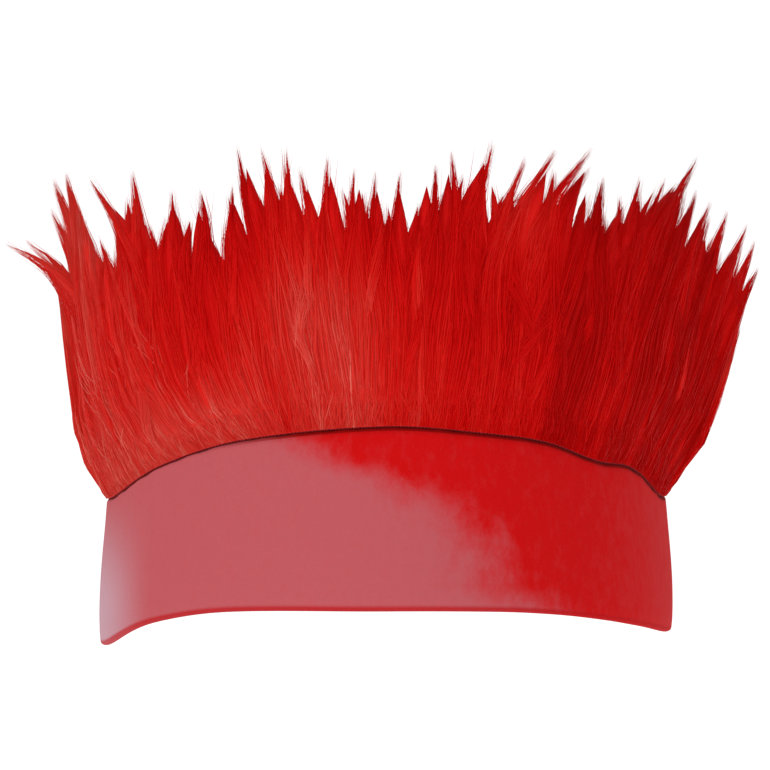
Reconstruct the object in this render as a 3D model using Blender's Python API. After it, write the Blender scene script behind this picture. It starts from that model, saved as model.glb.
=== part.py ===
"""Spiky hair headband: a folded stretch band with a strip of long-pile false fur sewn to its top edge.

The part is made of three pieces, each in a node of its own:
  headband     a loop of velour folded double, with its fold at the bottom
  fur_backing  the knitted strip that carries the pile, standing on the band's top edge
  fur          the root mat and the spiked locks that grow from it, fused into one solid

The origin is the middle of the head opening, level with the middle of the band at its sides, and +Z
points out of the top, towards the tips of the hair.
Angles run round the head from the front (-Y) towards +X. Lengths are in metres.
"""

import math

import bmesh
import bpy

# The loop, measured over its outside
HALF_BREADTH = 0.085
HALF_LENGTH = 0.100

# The folded band
BAND_HEIGHT = 0.050
BAND_WALL = 0.0024

# The fur strip
BACKING_HEIGHT = 0.038
BACKING_WALL = 0.0012
PILE_HEIGHT = 0.078
MAT_BULGE = 0.0085
LOCK_WIDTH = 0.0125
LOCK_DEPTH = 0.0090
LOCK_SEAT = 0.0005

# The gap between two pieces that touch
CLEARANCE = 0.0003

# How finely the pieces are faceted
BAND_STEPS = 84
BACKING_STEPS = 60
MAT_STEPS = 72
FOLD_STEPS = 4
LOCK_SIDES = 6

# The band round the head, a row for each place where its edges change. Columns: the angle in degrees,
# the top edge and the bottom fold above the origin, and how far the top edge and the fold stand out
# from the loop, all as shares of the band's height. The band arches up over the forehead.
BAND_SHARES = (
    (-180, 0.54, -0.35, 0.000, 0.000),
    (-135, 0.50, -0.36, 0.000, 0.000),
    (-105, 0.41, -0.45, -0.020, 0.010),
    (-75, 0.41, -0.45, -0.030, 0.020),
    (-50, 0.62, -0.27, -0.050, 0.050),
    (-30, 0.76, -0.18, -0.070, 0.070),
    (0, 0.84, -0.16, -0.085, 0.085),
    (20, 0.80, -0.17, -0.080, 0.080),
    (33, 0.75, -0.20, -0.070, 0.060),
    (46, 0.64, -0.25, -0.050, 0.040),
    (57, 0.60, -0.30, -0.040, 0.030),
    (74, 0.43, -0.37, -0.040, 0.010),
    (90, 0.41, -0.39, -0.030, 0.000),
    (110, 0.45, -0.40, -0.020, 0.000),
    (135, 0.50, -0.36, 0.000, 0.000),
)

# The root mat's outer face, from the seam up. Columns: the height as a share of the pile's height, and
# how far the face stands out as a share of the mat's bulge.
MAT_SHARES = (
    (0.00, 0.10),
    (0.06, 0.32),
    (0.14, 0.66),
    (0.28, 0.96),
    (0.48, 0.96),
    (0.60, 0.74),
    (0.67, 0.36),
)

# One lock from its root to where its tip begins. Columns: the share of the way up, the share of the
# lock's full width, and the share of its full depth.
LOCK_SHARES = (
    (0.03, 0.70, 0.20),
    (0.14, 0.92, 0.60),
    (0.32, 1.00, 1.00),
    (0.56, 0.98, 0.94),
    (0.75, 0.82, 0.68),
    (0.89, 0.50, 0.34),
)

# The locks. Columns: the angle of the root and of the tip in degrees, the rise and the flare of the
# tip as shares of the pile's height, how late the lock turns outwards (1 is a straight slant), the width
# as a share of a full lock's, and how late it leans sideways (under 1 it leans at its root).
LEFT_LOCK_SHARES = (
    (-92, -90, 0.86, 0.14, 2.4, 1.2, 1.0),
    (-85, -85, 0.82, 0.18, 2.6, 1.2, 1.0),
    (-80, -76, 0.96, 0.32, 4.5, 1.0, 0.8),
    (-78, -75, 0.95, 0.40, 4.2, 1.2, 0.8),
    (-76, -75, 1.07, 0.22, 4.0, 0.8, 0.7),
    (-70, -72, 1.15, 0.22, 3.4, 1.1, 0.7),
    (-62, -69, 1.12, 0.20, 2.6, 1.1, 0.5),
    (-54, -65, 0.96, 0.18, 2.0, 1.2, 0.5),
    (-47, -58, 0.80, 0.16, 2.0, 1.2, 0.5),
    (-44, -62, 1.01, 0.16, 2.0, 0.6, 3.5),
    (-40, -54, 0.80, 0.15, 2.0, 1.0, 0.5),
    (-35, -50, 0.97, 0.14, 2.0, 0.8, 0.35),
    (-33, -46, 0.78, 0.14, 2.0, 1.0, 0.4),
    (-29, -41, 0.88, 0.13, 2.0, 1.3, 0.35),
    (-24, -35, 0.86, 0.13, 2.0, 1.1, 0.35),
)
FRONT_LOCK_SHARES = (
    (-21, -28, 0.87, 0.12, 2.0, 1.2, 0.6),
    (-19, -26, 1.00, 0.12, 2.0, 0.8, 1.6),
    (-16, -22, 0.98, 0.12, 2.0, 1.0, 1.2),
    (-12, -18, 0.97, 0.12, 2.0, 1.1, 1.0),
    (-9, -14, 0.90, 0.12, 2.0, 1.0, 1.0),
    (-7, -10, 0.94, 0.12, 2.0, 0.9, 1.2),
    (-4, -5, 0.89, 0.13, 2.0, 0.9, 1.0),
    (-1, -2, 0.88, 0.12, 2.0, 0.8, 1.0),
    (2, 2, 0.88, 0.12, 2.0, 0.8, 1.0),
    (5, 7, 0.90, 0.13, 2.0, 1.0, 1.2),
    (9, 11, 0.95, 0.12, 2.0, 0.9, 1.2),
    (12, 15, 0.86, 0.12, 2.0, 0.9, 1.2),
    (13, 18, 1.00, 0.12, 2.0, 1.5, 3.0),
    (18, 24, 0.95, 0.12, 2.0, 1.0, 3.5),
    (22, 30, 0.99, 0.13, 2.0, 1.4, 3.5),
    (28, 39, 1.01, 0.14, 2.0, 1.4, 4.5),
    (33, 41, 0.93, 0.13, 2.0, 1.1, 1.6),
)
RIGHT_LOCK_SHARES = (
    (39, 43, 0.90, 0.16, 1.8, 1.3, 1.6),
    (42, 48, 0.99, 0.18, 1.8, 1.3, 2.5),
    (44, 52, 1.00, 0.19, 1.8, 1.3, 2.4),
    (47, 64, 1.10, 0.20, 1.8, 1.5, 4.5),
    (52, 60, 0.98, 0.21, 1.8, 1.3, 2.4),
    (57, 67, 0.96, 0.23, 1.8, 1.3, 2.4),
    (63, 72, 0.97, 0.26, 1.8, 1.2, 2.0),
    (68, 78, 0.96, 0.31, 1.8, 1.3, 2.4),
    (73, 80, 0.93, 0.33, 1.8, 1.0, 1.6),
    (76, 81, 0.85, 0.34, 1.8, 1.1, 1.2),
    (82, 84, 0.63, 0.27, 1.8, 1.1, 1.0),
    (88, 91, 0.86, 0.27, 1.8, 1.2, 1.0),
    (95, 97, 0.80, 0.26, 1.8, 1.2, 1.0),
)
BACK_LOCK_SHARES = (
    (103, 106, 0.94, 0.22, 1.6, 1.5, 1.2),
    (111, 112, 0.84, 0.19, 1.8, 1.5, 1.0),
    (118, 122, 0.96, 0.20, 1.8, 1.5, 1.4),
    (125, 126, 0.87, 0.17, 2.0, 1.4, 1.0),
    (132, 136, 0.95, 0.19, 2.0, 1.5, 1.5),
    (139, 139, 0.84, 0.16, 2.0, 1.4, 1.0),
    (146, 149, 1.00, 0.18, 2.0, 1.5, 1.5),
    (153, 154, 0.90, 0.15, 2.0, 1.4, 1.0),
    (160, 163, 0.96, 0.17, 2.0, 1.4, 1.2),
    (167, 167, 0.87, 0.15, 2.0, 1.4, 1.0),
    (174, 176, 1.00, 0.17, 2.0, 1.4, 1.2),
    (181, 180, 0.88, 0.15, 2.0, 1.4, 1.0),
    (188, 187, 0.98, 0.17, 2.0, 1.4, 1.2),
    (195, 195, 0.87, 0.15, 2.0, 1.4, 1.0),
    (202, 199, 0.96, 0.17, 2.0, 1.4, 1.2),
    (209, 209, 0.84, 0.15, 2.0, 1.4, 1.0),
    (216, 213, 0.92, 0.17, 2.0, 1.5, 1.5),
    (224, 224, 0.80, 0.15, 2.0, 1.5, 1.0),
    (232, 228, 0.87, 0.18, 2.0, 1.5, 1.5),
    (240, 240, 0.82, 0.15, 2.0, 1.5, 1.0),
    (248, 245, 0.90, 0.18, 2.0, 1.5, 1.4),
    (257, 256, 0.84, 0.16, 2.0, 1.5, 1.0),
)
LOCK_ROWS = LEFT_LOCK_SHARES + FRONT_LOCK_SHARES + RIGHT_LOCK_SHARES + BACK_LOCK_SHARES

# The finishes. Columns: the colour in linear light, the roughness, and the sheen of a napped surface.
VELOUR = ((0.500, 0.040, 0.048), 0.90, 0.6)
KNIT = ((0.180, 0.010, 0.012), 0.95, 0.2)
PILE = ((0.530, 0.008, 0.008), 0.55, 0.3)


def band_row(angle):
    """The band's section at an angle, on a smooth curve through the rows of its table."""
    rows = BAND_SHARES
    count = len(rows)
    angle = (angle + 180) % 360 - 180
    k = max(i for i in range(count) if rows[i][0] <= angle)
    near = []
    for i in range(k - 1, k + 3):
        turn, row = divmod(i, count)
        near.append((rows[row][0] + 360 * turn, rows[row][1:]))
    (a0, r0), (a1, r1), (a2, r2), (a3, r3) = near
    t = (angle - a1) / (a2 - a1)
    values = []
    for v0, v1, v2, v3 in zip(r0, r1, r2, r3):
        slope_1 = (v2 - v0) / (a2 - a0) * (a2 - a1)
        slope_2 = (v3 - v1) / (a3 - a1) * (a2 - a1)
        rise = v1 * (2 * t**3 - 3 * t**2 + 1) + v2 * (3 * t**2 - 2 * t**3)
        values.append(rise + slope_1 * (t**3 - 2 * t**2 + t) + slope_2 * (t**3 - t**2))
    return values


def seam_at(angle):
    """The height of the band's top edge, and how far its outer face stands out there."""
    top, _, top_out, _ = band_row(angle)
    return top * BAND_HEIGHT, top_out * BAND_HEIGHT


def ring_point(angle, out, height):
    """A point round the head: its angle in degrees, how far outside the loop, and its height."""
    turn = math.radians(angle)
    return (
        (HALF_BREADTH + out) * math.sin(turn),
        -(HALF_LENGTH + out) * math.cos(turn),
        height,
    )


def band_outline(angle):
    """The band's section, up its outer face, over the top edge, down inside and round the fold."""
    top, fold, top_out, fold_out = band_row(angle)
    radius = BAND_WALL / 2
    crown = (top_out * BAND_HEIGHT - radius, top * BAND_HEIGHT - radius)
    heel = (fold_out * BAND_HEIGHT - radius, fold * BAND_HEIGHT + radius)
    # The fabric is fullest halfway up, where the fold and the seam pull it in least
    middle = ((crown[0] + heel[0]) / 2 + radius, (crown[1] + heel[1]) / 2)
    outline = [middle]
    for step in range(FOLD_STEPS + 1):
        bend = math.pi * step / FOLD_STEPS
        outline.append((crown[0] + radius * math.cos(bend), crown[1] + radius * math.sin(bend)))
    outline.append((middle[0] - BAND_WALL, middle[1]))
    for step in range(FOLD_STEPS + 1):
        bend = math.pi * (1 + step / FOLD_STEPS)
        outline.append((heel[0] + radius * math.cos(bend), heel[1] + radius * math.sin(bend)))
    return outline


def backing_outline(angle):
    """The knitted strip's section, standing on the middle of the band's top edge."""
    seam, seam_out = seam_at(angle)
    outer = seam_out - (BAND_WALL - BACKING_WALL) / 2
    inner = outer - BACKING_WALL
    foot = seam + CLEARANCE
    return [
        (outer, foot),
        (outer, foot + BACKING_HEIGHT / 2),
        (outer, foot + BACKING_HEIGHT),
        (inner, foot + BACKING_HEIGHT),
        (inner, foot + BACKING_HEIGHT / 2),
        (inner, foot),
    ]


def pile_root_out(angle):
    """How far out the pile begins: just clear of the knitted strip's outer face."""
    _, seam_out = seam_at(angle)
    return seam_out - (BAND_WALL - BACKING_WALL) / 2 + CLEARANCE


def mat_outline(angle):
    """The root mat's section, up its bulging outer face and down beside the knitted strip."""
    seam, _ = seam_at(angle)
    inner = pile_root_out(angle)
    foot = seam + CLEARANCE
    outline = []
    for rise, bulge in MAT_SHARES:
        outline.append((inner + bulge * MAT_BULGE, foot + rise * PILE_HEIGHT))
    crest = foot + MAT_SHARES[-1][0] * PILE_HEIGHT
    outline.append((inner, crest))
    outline.append((inner, (foot + crest) / 2))
    outline.append((inner, foot))
    return outline


def loop_mesh(name, outline_at, steps):
    """Carries a section all the way round the head as one closed wall."""
    shape = bmesh.new()
    rings = []
    for step in range(steps):
        angle = 360 * step / steps
        rings.append([shape.verts.new(ring_point(angle, out, height)) for out, height in outline_at(angle)])
    for near, far in zip(rings, rings[1:] + rings[:1]):
        for k in range(len(near)):
            shape.faces.new((near[k - 1], far[k - 1], far[k], near[k]))
    bmesh.ops.recalc_face_normals(shape, faces=shape.faces)
    bmesh.ops.triangulate(shape, faces=shape.faces)
    mesh = bpy.data.meshes.new(name)
    shape.to_mesh(mesh)
    shape.free()
    return mesh


def lock_mesh(row):
    """One tapered lock: a closed horn that bends from its root in the mat to its point."""
    root, tip, rise, flare, turn_out, width, lean = row
    seam, _ = seam_at(root)
    foot = seam + CLEARANCE
    inner = pile_root_out(root) + LOCK_SEAT
    shape = bmesh.new()
    rings = []
    for way, wide, deep in LOCK_SHARES:
        angle = root + (tip - root) * way**lean
        half_depth = deep * LOCK_DEPTH / 2
        half_turn = math.degrees(wide * width * LOCK_WIDTH / (HALF_BREADTH + HALF_LENGTH))
        out = inner + half_depth + flare * PILE_HEIGHT * way**turn_out
        height = foot + way * rise * PILE_HEIGHT
        ring = []
        for side in range(LOCK_SIDES):
            spoke = math.tau * side / LOCK_SIDES
            place = ring_point(angle + half_turn * math.cos(spoke), out + half_depth * math.sin(spoke), height)
            ring.append(shape.verts.new(place))
        rings.append(ring)
    point = shape.verts.new(ring_point(tip, inner + flare * PILE_HEIGHT, foot + rise * PILE_HEIGHT))
    for low, high in zip(rings, rings[1:]):
        for k in range(LOCK_SIDES):
            shape.faces.new((low[k - 1], low[k], high[k], high[k - 1]))
    for k in range(LOCK_SIDES):
        shape.faces.new((rings[-1][k - 1], rings[-1][k], point))
    shape.faces.new(rings[0])
    bmesh.ops.recalc_face_normals(shape, faces=shape.faces)
    bmesh.ops.triangulate(shape, faces=shape.faces)
    mesh = bpy.data.meshes.new("lock")
    shape.to_mesh(mesh)
    shape.free()
    return mesh


def lock_bundle():
    """All the locks, each a guide object in one collection, which the root mat is fused with."""
    bundle = bpy.data.collections.new("lock_bundle")
    bpy.context.scene.collection.children.link(bundle)
    for row in LOCK_ROWS:
        lock = bpy.data.objects.new("lock", lock_mesh(row))
        lock.hide_render = True
        lock.display_type = "WIRE"
        bundle.objects.link(lock)
    return bundle


def islands(shape):
    """The shape's closed shells, each as a list of the faces that join up."""
    unseen = set(shape.faces)
    while unseen:
        shell = [unseen.pop()]
        for face in shell:
            for edge in face.edges:
                for beyond in edge.link_faces:
                    if beyond in unseen:
                        unseen.remove(beyond)
                        shell.append(beyond)
        yield shell


def volume_of(shell):
    """The volume that a shell holds, which is below zero for the wall of a pocket."""
    volume = 0
    for face in shell:
        first = face.verts[0].co
        for near, far in zip(face.verts[1:], face.verts[2:]):
            volume += first.dot(near.co.cross(far.co)) / 6
    return volume


def fuse_locks(fur, bundle):
    """Fuses the locks with the root mat, and fills the pockets that they close in between them.

    So many locks cross each other that the exact solver leaves slivers, and the manifold one doesn't.
    """
    fuse = fur.modifiers.new("fuse_locks", "BOOLEAN")
    fuse.operation = "UNION"
    fuse.solver = "MANIFOLD"
    fuse.operand_type = "COLLECTION"
    fuse.collection = bundle
    shape = bmesh.new()
    shape.from_object(fur, bpy.context.evaluated_depsgraph_get())
    fur.modifiers.remove(fuse)
    bmesh.ops.triangulate(shape, faces=shape.faces)
    for shell in list(islands(shape)):
        if volume_of(shell) < 0:
            bmesh.ops.delete(shape, geom=shell, context="FACES")
    shape.to_mesh(fur.data)
    shape.free()
    for lock in list(bundle.objects):
        bpy.data.objects.remove(lock)
    bpy.data.collections.remove(bundle)


def finish_of(name, finish):
    """A material from one of the finishes above."""
    colour, roughness, sheen = finish
    material = bpy.data.materials.new(name)
    material.use_nodes = True
    shader = material.node_tree.nodes["Principled BSDF"]
    shader.inputs["Base Color"].default_value = (*colour, 1)
    shader.inputs["Roughness"].default_value = roughness
    shader.inputs["Metallic"].default_value = 0
    shader.inputs["Sheen Weight"].default_value = sheen
    return material


def place_piece(name, mesh, material, seat):
    """Puts one piece on the head seat, in its own finish."""
    mesh.materials.append(material)
    piece = bpy.data.objects.new(name, mesh)
    piece.parent = seat
    bpy.context.collection.objects.link(piece)
    return piece


def smooth_piece(piece):
    """Shades a piece smooth, apart from its real corners."""
    piece.data.shade_smooth()
    piece.data.set_sharp_from_angle(angle=math.radians(50))


def clear_scene():
    for old in list(bpy.data.objects):
        bpy.data.objects.remove(old)


def main():
    clear_scene()
    seat = bpy.data.objects.new("head_seat", None)
    bpy.context.collection.objects.link(seat)

    band_mesh = loop_mesh("headband", band_outline, BAND_STEPS)
    band = place_piece("headband", band_mesh, finish_of("velour", VELOUR), seat)

    backing_mesh = loop_mesh("fur_backing", backing_outline, BACKING_STEPS)
    backing = place_piece("fur_backing", backing_mesh, finish_of("knit", KNIT), seat)

    mat_mesh = loop_mesh("fur", mat_outline, MAT_STEPS)
    fur = place_piece("fur", mat_mesh, finish_of("pile", PILE), seat)
    fuse_locks(fur, lock_bundle())

    for piece in (band, backing, fur):
        smooth_piece(piece)


main()
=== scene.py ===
"""The looks of the spiky hair headband.

The band is one sheet of velour folded double, the strip is a knitted sheet, and the pile is many
thousand fine strands that grow in the same locks as the solid. Angles run round the head from the
front (-Y) towards +X. Lengths are in metres.
"""

import math

import bpy
import numpy as np
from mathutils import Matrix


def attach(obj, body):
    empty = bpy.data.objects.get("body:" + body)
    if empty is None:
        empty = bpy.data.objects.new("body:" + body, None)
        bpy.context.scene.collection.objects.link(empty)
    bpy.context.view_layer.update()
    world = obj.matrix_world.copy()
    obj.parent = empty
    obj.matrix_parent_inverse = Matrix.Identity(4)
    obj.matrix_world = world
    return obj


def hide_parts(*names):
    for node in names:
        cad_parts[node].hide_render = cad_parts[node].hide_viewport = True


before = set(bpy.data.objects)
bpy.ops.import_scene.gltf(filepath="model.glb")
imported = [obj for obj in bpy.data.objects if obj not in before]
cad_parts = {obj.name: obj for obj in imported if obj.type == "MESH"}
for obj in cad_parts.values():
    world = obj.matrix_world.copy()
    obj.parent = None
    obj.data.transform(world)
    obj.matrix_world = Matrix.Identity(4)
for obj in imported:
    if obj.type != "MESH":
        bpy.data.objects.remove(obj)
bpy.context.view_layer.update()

# The loop, the folded band and the fur strip, as in the part's source
HALF_BREADTH = 0.085
HALF_LENGTH = 0.100
BAND_HEIGHT = 0.050
BAND_WALL = 0.0024
BACKING_HEIGHT = 0.038
BACKING_WALL = 0.0012
PILE_HEIGHT = 0.078
LOCK_WIDTH = 0.0125
LOCK_DEPTH = 0.0090
LOCK_SEAT = 0.0005
CLEARANCE = 0.0003

# The band: angle, top edge, bottom fold, and how far each stands out, as shares of its height
BAND_SHARES = (
    (-180, 0.54, -0.35, 0.000, 0.000),
    (-135, 0.50, -0.36, 0.000, 0.000),
    (-105, 0.41, -0.45, -0.020, 0.010),
    (-75, 0.41, -0.45, -0.030, 0.020),
    (-50, 0.62, -0.27, -0.050, 0.050),
    (-30, 0.76, -0.18, -0.070, 0.070),
    (0, 0.84, -0.16, -0.085, 0.085),
    (20, 0.80, -0.17, -0.080, 0.080),
    (33, 0.75, -0.20, -0.070, 0.060),
    (46, 0.64, -0.25, -0.050, 0.040),
    (57, 0.60, -0.30, -0.040, 0.030),
    (74, 0.43, -0.37, -0.040, 0.010),
    (90, 0.41, -0.39, -0.030, 0.000),
    (110, 0.45, -0.40, -0.020, 0.000),
    (135, 0.50, -0.36, 0.000, 0.000),
)

# A lock's outline: the way up, the share of its width, and the share of its depth
LOCK_SHARES = np.array(
    (
        (0.00, 0.66, 0.14),
        (0.03, 0.70, 0.20),
        (0.14, 0.92, 0.60),
        (0.32, 1.00, 1.00),
        (0.56, 0.98, 0.94),
        (0.75, 0.82, 0.68),
        (0.89, 0.50, 0.34),
        (1.00, 0.12, 0.08),
    )
)

# The locks: the angle of root and tip, rise, flare, how late it turns out, width, how late it leans
LOCK_ROWS = (
    (-92, -90, 0.86, 0.14, 2.4, 1.2, 1.0),
    (-85, -85, 0.82, 0.18, 2.6, 1.2, 1.0),
    (-80, -76, 0.96, 0.32, 4.5, 1.0, 0.8),
    (-78, -75, 0.95, 0.40, 4.2, 1.2, 0.8),
    (-76, -75, 1.07, 0.22, 4.0, 0.8, 0.7),
    (-70, -72, 1.15, 0.22, 3.4, 1.1, 0.7),
    (-62, -69, 1.12, 0.20, 2.6, 1.1, 0.5),
    (-54, -65, 0.96, 0.18, 2.0, 1.2, 0.5),
    (-47, -58, 0.80, 0.16, 2.0, 1.2, 0.5),
    (-44, -62, 1.01, 0.16, 2.0, 0.6, 3.5),
    (-40, -54, 0.80, 0.15, 2.0, 1.0, 0.5),
    (-35, -50, 0.97, 0.14, 2.0, 0.8, 0.35),
    (-33, -46, 0.78, 0.14, 2.0, 1.0, 0.4),
    (-29, -41, 0.88, 0.13, 2.0, 1.3, 0.35),
    (-24, -35, 0.86, 0.13, 2.0, 1.1, 0.35),
    (-21, -28, 0.87, 0.12, 2.0, 1.2, 0.6),
    (-19, -26, 1.00, 0.12, 2.0, 0.8, 1.6),
    (-16, -22, 0.98, 0.12, 2.0, 1.0, 1.2),
    (-12, -18, 0.97, 0.12, 2.0, 1.1, 1.0),
    (-9, -14, 0.90, 0.12, 2.0, 1.0, 1.0),
    (-7, -10, 0.94, 0.12, 2.0, 0.9, 1.2),
    (-4, -5, 0.89, 0.13, 2.0, 0.9, 1.0),
    (-1, -2, 0.88, 0.12, 2.0, 0.8, 1.0),
    (2, 2, 0.88, 0.12, 2.0, 0.8, 1.0),
    (5, 7, 0.90, 0.13, 2.0, 1.0, 1.2),
    (9, 11, 0.95, 0.12, 2.0, 0.9, 1.2),
    (12, 15, 0.86, 0.12, 2.0, 0.9, 1.2),
    (13, 18, 1.00, 0.12, 2.0, 1.5, 3.0),
    (18, 24, 0.95, 0.12, 2.0, 1.0, 3.5),
    (22, 30, 0.99, 0.13, 2.0, 1.4, 3.5),
    (28, 39, 1.01, 0.14, 2.0, 1.4, 4.5),
    (33, 41, 0.93, 0.13, 2.0, 1.1, 1.6),
    (39, 43, 0.90, 0.16, 1.8, 1.3, 1.6),
    (42, 48, 0.99, 0.18, 1.8, 1.3, 2.5),
    (44, 52, 1.00, 0.19, 1.8, 1.3, 2.4),
    (47, 64, 1.10, 0.20, 1.8, 1.5, 4.5),
    (52, 60, 0.98, 0.21, 1.8, 1.3, 2.4),
    (57, 67, 0.96, 0.23, 1.8, 1.3, 2.4),
    (63, 72, 0.97, 0.26, 1.8, 1.2, 2.0),
    (68, 78, 0.96, 0.31, 1.8, 1.3, 2.4),
    (73, 80, 0.93, 0.33, 1.8, 1.0, 1.6),
    (76, 81, 0.85, 0.34, 1.8, 1.1, 1.2),
    (82, 84, 0.63, 0.27, 1.8, 1.1, 1.0),
    (88, 91, 0.86, 0.27, 1.8, 1.2, 1.0),
    (95, 97, 0.80, 0.26, 1.8, 1.2, 1.0),
    (103, 106, 0.94, 0.22, 1.6, 1.5, 1.2),
    (111, 112, 0.84, 0.19, 1.8, 1.5, 1.0),
    (118, 122, 0.96, 0.20, 1.8, 1.5, 1.4),
    (125, 126, 0.87, 0.17, 2.0, 1.4, 1.0),
    (132, 136, 0.95, 0.19, 2.0, 1.5, 1.5),
    (139, 139, 0.84, 0.16, 2.0, 1.4, 1.0),
    (146, 149, 1.00, 0.18, 2.0, 1.5, 1.5),
    (153, 154, 0.90, 0.15, 2.0, 1.4, 1.0),
    (160, 163, 0.96, 0.17, 2.0, 1.4, 1.2),
    (167, 167, 0.87, 0.15, 2.0, 1.4, 1.0),
    (174, 176, 1.00, 0.17, 2.0, 1.4, 1.2),
    (181, 180, 0.88, 0.15, 2.0, 1.4, 1.0),
    (188, 187, 0.98, 0.17, 2.0, 1.4, 1.2),
    (195, 195, 0.87, 0.15, 2.0, 1.4, 1.0),
    (202, 199, 0.96, 0.17, 2.0, 1.4, 1.2),
    (209, 209, 0.84, 0.15, 2.0, 1.4, 1.0),
    (216, 213, 0.92, 0.17, 2.0, 1.5, 1.5),
    (224, 224, 0.80, 0.15, 2.0, 1.5, 1.0),
    (232, 228, 0.87, 0.18, 2.0, 1.5, 1.5),
    (240, 240, 0.82, 0.15, 2.0, 1.5, 1.0),
    (248, 245, 0.90, 0.18, 2.0, 1.5, 1.4),
    (257, 256, 0.84, 0.16, 2.0, 1.5, 1.0),
)

# The velour: one layer's thickness, the gap between the two layers, and how fully it fills out
VELOUR_LAYER = 0.00105
VELOUR_GAP = BAND_WALL - 2 * VELOUR_LAYER
VELOUR_FULLNESS = 0.0009
VELOUR_PULL = 0.0003
# The small gathers below the seam: how deep, and how far down, as a share of the band's height
GATHER_DEPTH = 0.00016
GATHER_REACH = 0.16
# How far the cloth's two edges curl over at the seam, in degrees
EDGE_CURL = 80
# The knitted strip: its gap from the velour's curled edges, and its ripple
SEAM_SLIT = 0.00002
KNIT_RIPPLE = 0.0002

# How finely the cloth pieces are divided: round the head, up a layer, over the curl and the fold
RING_POINTS = 216
LAYER_ROWS = 16
CURL_ROWS = 4
FOLD_ROWS = 7
KNIT_ROWS = 15
CREASE_ANGLE = 50

# The strands: how many of each kind, and the share of a lock's strands that lie on its face
STRANDS_PER_MM = 30
FACE_SHARE = 0.60
INSIDE_SHARE = 0.40
SHORT_SHARE = 0.16
STRAY_SHARE = 0.02
# The share of face strands made paler as a painted highlight
HIGHLIGHT_SHARE = 0.012
FILLING_STRANDS = 2500
SPROUT_STRANDS = 2800
WISPS = 120
WISP_STRANDS = 32
CROSS_STRANDS = 44

# A strand's radius at its root and how far it thins, and the points along it and round it
STRAND_RADIUS = 0.00019
STRAND_TAPER = 0.68
STRAND_STEPS = np.linspace(0, 1, 7)
SPROUT_STEPS = np.linspace(0, 1, 5)
STRAND_SIDES = 3
# The least distance of a strand from the pile's inner face
INNER_GAP = 0.0002

# The packed bodies inside a lock and inside the smaller ones that it parts into
HEART_RINGS = 12
HEART_SIDES = 10
HEART_WIDTH = 0.88
HEART_DEPTH = 0.74
PART_RINGS = 8
PART_SIDES = 6
PART_FOOT = 0.50
PART_WIDTH = 1.30
PART_DEPTH = 0.60

# Angles round the head, then how far the wisps there stray, in degrees, and how their tones vary
WISPS_ASTRAY = ((-92, -50, -25, 6, 16, 62, 90), (3, 3, 1.8, 1.8, 4.8, 4.8, 4))
WISPS_TONED = ((-25, 16, 62, 90), (0.05, 0.11, 0.11, 0.05))

# The pieces that the strands are kept in, and the seed of all their chances
SECTORS = 8
SEED = 41
# The span of angles that the loose strands are strewn over: once round, from the left
STREWN_FROM = -92
STREWN_TO = 268

# How pale the pile is round the head, as painted light on the left and painted shade on the right
# and in the crevice near -35 degrees: the angle, then the tone at its foot, middle and top
LIGHT_AND_SHADE_TONES = (
    (-180, 0.34, 0.34, 0.34),
    (-110, 0.50, 0.48, 0.46),
    (-85, 0.80, 0.70, 0.78),
    (-62, 0.84, 0.68, 0.74),
    (-50, 0.84, 0.60, 0.50),
    (-43, 0.82, 0.46, 0.34),
    (-35, 0.78, 0.30, 0.24),
    (-28, 0.74, 0.46, 0.24),
    (-21, 0.66, 0.68, 0.40),
    (-14, 0.74, 0.80, 0.46),
    (-7, 0.76, 0.74, 0.32),
    (-1, 0.68, 0.60, 0.28),
    (6, 0.58, 0.46, 0.34),
    (12, 0.36, 0.26, 0.22),
    (25, 0.36, 0.22, 0.56),
    (33, 0.14, 0.10, 0.18),
    (42, 0.22, 0.18, 0.20),
    (53, 0.08, 0.05, 0.14),
    (68, 0.10, 0.08, 0.20),
    (84, 0.20, 0.18, 0.56),
    (95, 0.24, 0.24, 0.40),
    (120, 0.34, 0.34, 0.34),
)


def band_row(angle):
    """The band's section at an angle, on a smooth curve through the rows of its table."""
    rows = BAND_SHARES
    count = len(rows)
    angle = (angle + 180) % 360 - 180
    k = max(i for i in range(count) if rows[i][0] <= angle)
    near = []
    for i in range(k - 1, k + 3):
        turn, row = divmod(i, count)
        near.append((rows[row][0] + 360 * turn, rows[row][1:]))
    (a0, r0), (a1, r1), (a2, r2), (a3, r3) = near
    t = (angle - a1) / (a2 - a1)
    values = []
    for v0, v1, v2, v3 in zip(r0, r1, r2, r3):
        slope_1 = (v2 - v0) / (a2 - a0) * (a2 - a1)
        slope_2 = (v3 - v1) / (a3 - a1) * (a2 - a1)
        rise = v1 * (2 * t**3 - 3 * t**2 + 1) + v2 * (3 * t**2 - 2 * t**3)
        values.append(rise + slope_1 * (t**3 - 2 * t**2 + t) + slope_2 * (t**3 - t**2))
    return values


TURN_ANGLES = np.arange(-180, 181)
TURN_ROWS = np.array([band_row(angle) for angle in TURN_ANGLES]) * BAND_HEIGHT


def seam_at(angle):
    """The height of the band's top edge and how far it stands out, for one angle or many."""
    angle = (np.asarray(angle) + 180) % 360 - 180
    height = np.interp(angle, TURN_ANGLES, TURN_ROWS[:, 0])
    out = np.interp(angle, TURN_ANGLES, TURN_ROWS[:, 2])
    return height, out


def ring_point(angle, out, height):
    """Points round the head, from their angles in degrees, how far outside the loop, and heights."""
    turn = np.radians(angle)
    east = (HALF_BREADTH + out) * np.sin(turn)
    south = -(HALF_LENGTH + out) * np.cos(turn)
    return np.stack(np.broadcast_arrays(east, south, height), axis=-1)


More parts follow.
